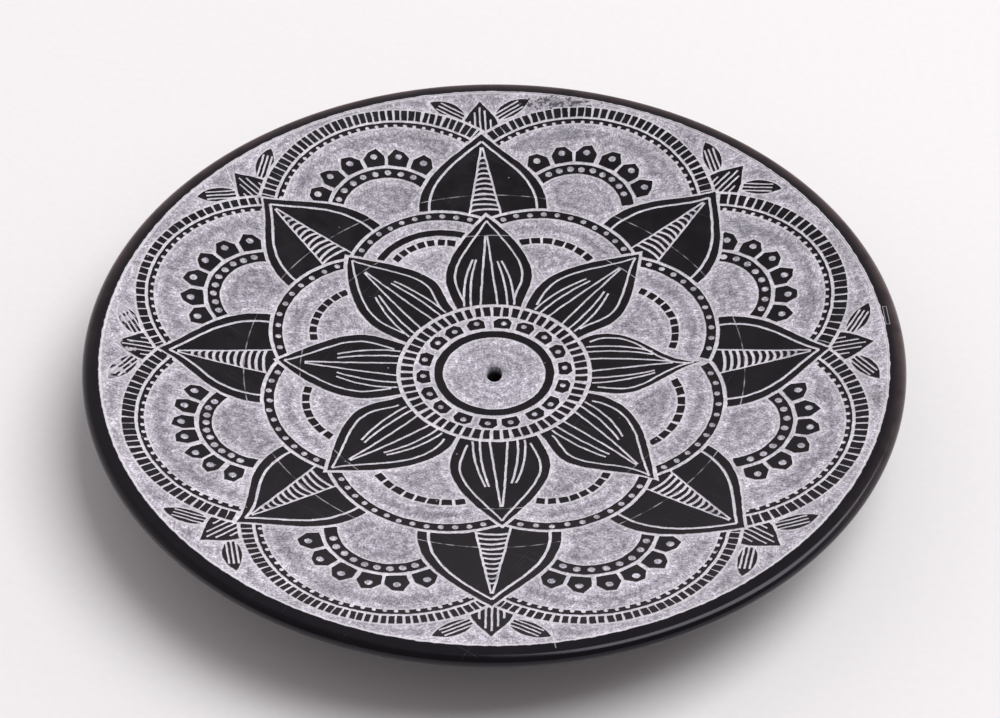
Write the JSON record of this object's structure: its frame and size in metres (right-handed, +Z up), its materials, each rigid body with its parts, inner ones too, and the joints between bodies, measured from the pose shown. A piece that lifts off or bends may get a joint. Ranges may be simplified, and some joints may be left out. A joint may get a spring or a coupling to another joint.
{
  "type": "incense stick holder",
  "caption": "Shallow round stone dish with a polished black coat, hand cut to a lotus mandala, and a central hole that holds an incense stick upright over the ash it drops.",
  "frame": {"origin": "middle of the foot, on the surface the dish stands on", "axes": "+Z up through the stick hole, -Y towards the viewer of the picture, +X to the viewer's right"},
  "size_m": [0.11, 0.11, 0.013],
  "materials": {
    "stone": "scraped, matte",
    "coat": "polished black coat on stone"
  },
  "bodies": {
    "root": {"stone_disc": "stone", "rim_coat": "coat", "hub_ring": "coat", "hub_blocks": "coat", "hub_rungs": "coat", "inner_petal_1": "coat", "inner_petal_2": "coat", "inner_petal_3": "coat", "inner_petal_4": "coat", "inner_petal_5": "coat", "inner_petal_6": "coat", "inner_petal_7": "coat", "inner_petal_8": "coat", "ladder_arc_1": "coat", "ladder_arc_2": "coat", "ladder_arc_3": "coat", "ladder_arc_4": "coat", "ladder_arc_5": "coat", "ladder_arc_6": "coat", "ladder_arc_7": "coat", "ladder_arc_8": "coat", "bead_arc_1": "coat", "bead_arc_2": "coat", "bead_arc_3": "coat", "bead_arc_4": "coat", "bead_arc_5": "coat", "bead_arc_6": "coat", "bead_arc_7": "coat", "bead_arc_8": "coat", "outer_petal_1": "coat", "outer_petal_2": "coat", "outer_petal_3": "coat", "outer_petal_4": "coat", "outer_petal_5": "coat", "outer_petal_6": "coat", "outer_petal_7": "coat", "outer_petal_8": "coat", "scallop_1": "coat", "scallop_2": "coat", "scallop_3": "coat", "scallop_4": "coat", "scallop_5": "coat", "scallop_6": "coat", "scallop_7": "coat", "scallop_8": "coat", "rope_arc_1": "coat", "rope_arc_2": "coat", "rope_arc_3": "coat", "rope_arc_4": "coat", "rope_arc_5": "coat", "rope_arc_6": "coat", "rope_arc_7": "coat", "rope_arc_8": "coat", "sprigs": "coat"}
  },
  "joints": []
}
